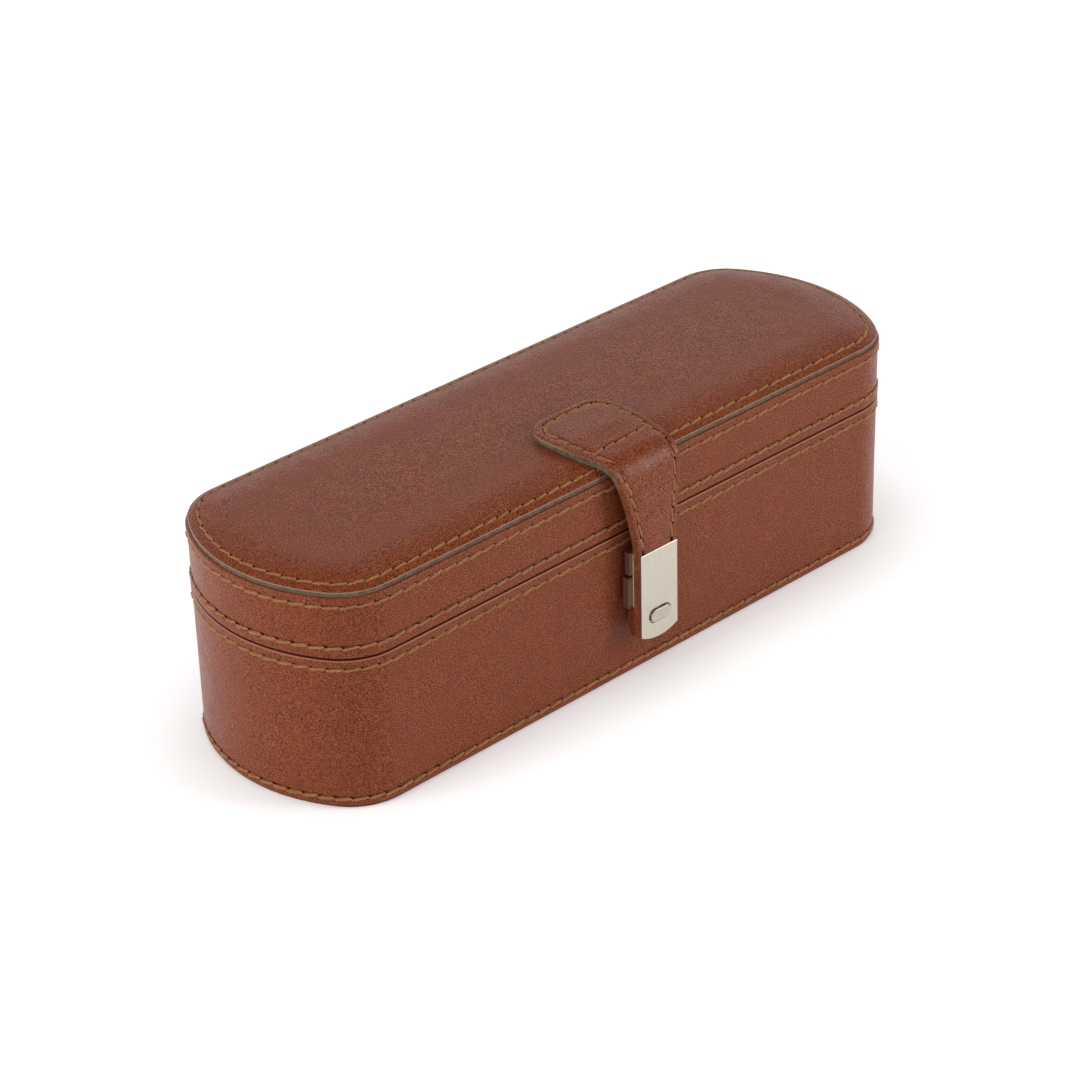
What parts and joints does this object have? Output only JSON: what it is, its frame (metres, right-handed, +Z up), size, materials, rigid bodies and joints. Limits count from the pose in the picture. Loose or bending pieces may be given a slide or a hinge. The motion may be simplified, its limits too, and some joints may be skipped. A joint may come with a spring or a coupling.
{
  "type": "watch box",
  "caption": "Long leather-covered watch box with bowed ends, a padded stitched lid on rear hinges, a front strap with push-button lock, and lift-out pillows in suede-lined places.",
  "frame": {"origin": "middle of the face that the box stands on", "axes": "+Z up, +X along the box, the strap and lock on the -Y side, the hinges on the +Y side"},
  "size_m": [0.3, 0.1096, 0.0922],
  "materials": {
    "brown_leather": "fine pebbled grain, semi-gloss, saddle stitched in tan thread",
    "board": "raw fibreboard",
    "card": "grey board",
    "suede_lining": "short-nap suede",
    "suede_pillow": "short-nap suede over soft foam",
    "foam": "open-cell foam",
    "satin_nickel": "satin nickel plate",
    "lock_steel": "nickel-plated, duller than the face plate",
    "spring_steel": "bright spring wire",
    "hinge_steel": "nickel-plated hinge and screws"
  },
  "bodies": {
    "base": {"base_bottom_panel": "brown_leather", "base_carcass": "board", "base_filler_card": "card", "base_lining": "suede_lining", "base_side_leather": "brown_leather", "divider_1": "suede_lining", "divider_2": "suede_lining", "divider_3": "suede_lining", "divider_4": "suede_lining", "hinge_base_screws": "hinge_steel", "hinge_left_base_leaf": "hinge_steel", "hinge_left_pin": "hinge_steel", "hinge_right_base_leaf": "hinge_steel", "hinge_right_pin": "hinge_steel", "lock_striker": "lock_steel", "striker_screws": "hinge_steel"},
    "lid": {"hinge_left_lid_leaf": "hinge_steel", "hinge_lid_screws": "hinge_steel", "hinge_right_lid_leaf": "hinge_steel", "lid_carcass": "board", "lid_filler_card": "card", "lid_lining": "suede_lining", "lid_side_leather": "brown_leather", "lid_top_foam": "foam", "lid_top_leather": "brown_leather", "strap_tab": "brown_leather"},
    "strap": {"strap_flap": "brown_leather", "strap_end_pad": "brown_leather", "lock_plate": "satin_nickel", "lock_backplate": "lock_steel", "catch_housing": "lock_steel", "spring_block": "lock_steel", "latch_spring": "spring_steel", "lock_rivets": "lock_steel"},
    "button": {"push_button": "satin_nickel"},
    "pillow_1": {"pillow_1": "suede_pillow"},
    "pillow_2": {"pillow_2": "suede_pillow"},
    "pillow_3": {"pillow_3": "suede_pillow"},
    "pillow_4": {"pillow_4": "suede_pillow"},
    "pillow_5": {"pillow_5": "suede_pillow"}
  },
  "joints": [
    {"name": "lid_hinge", "type": "hinge", "parent": "base", "child": "lid", "pos_m": [0, 0.05005, 0.0602], "axis": [-1, 0, 0], "range_deg": [0, 100]},
    {"name": "strap_swing", "type": "hinge", "parent": "lid", "child": "strap", "pos_m": [0, -0.0395, 0.0914], "axis": [-1, 0, 0], "range_deg": [0, 75]},
    {"name": "button_press", "type": "slide", "parent": "strap", "child": "button", "axis": [0, 1, 0], "range_m": [0, 0.0012], "stiffness_N_per_m": 600, "deforming": ["latch_spring"]},
    {"name": "pillow_lift_1", "type": "slide", "parent": "base", "child": "pillow_1", "axis": [0, 0, 1], "range_m": [0, 0.02]},
    {"name": "pillow_lift_2", "type": "slide", "parent": "base", "child": "pillow_2", "axis": [0, 0, 1], "range_m": [0, 0.02]},
    {"name": "pillow_lift_3", "type": "slide", "parent": "base", "child": "pillow_3", "axis": [0, 0, 1], "range_m": [0, 0.02]},
    {"name": "pillow_lift_4", "type": "slide", "parent": "base", "child": "pillow_4", "axis": [0, 0, 1], "range_m": [0, 0.02]},
    {"name": "pillow_lift_5", "type": "slide", "parent": "base", "child": "pillow_5", "axis": [0, 0, 1], "range_m": [0, 0.02]}
  ]
}
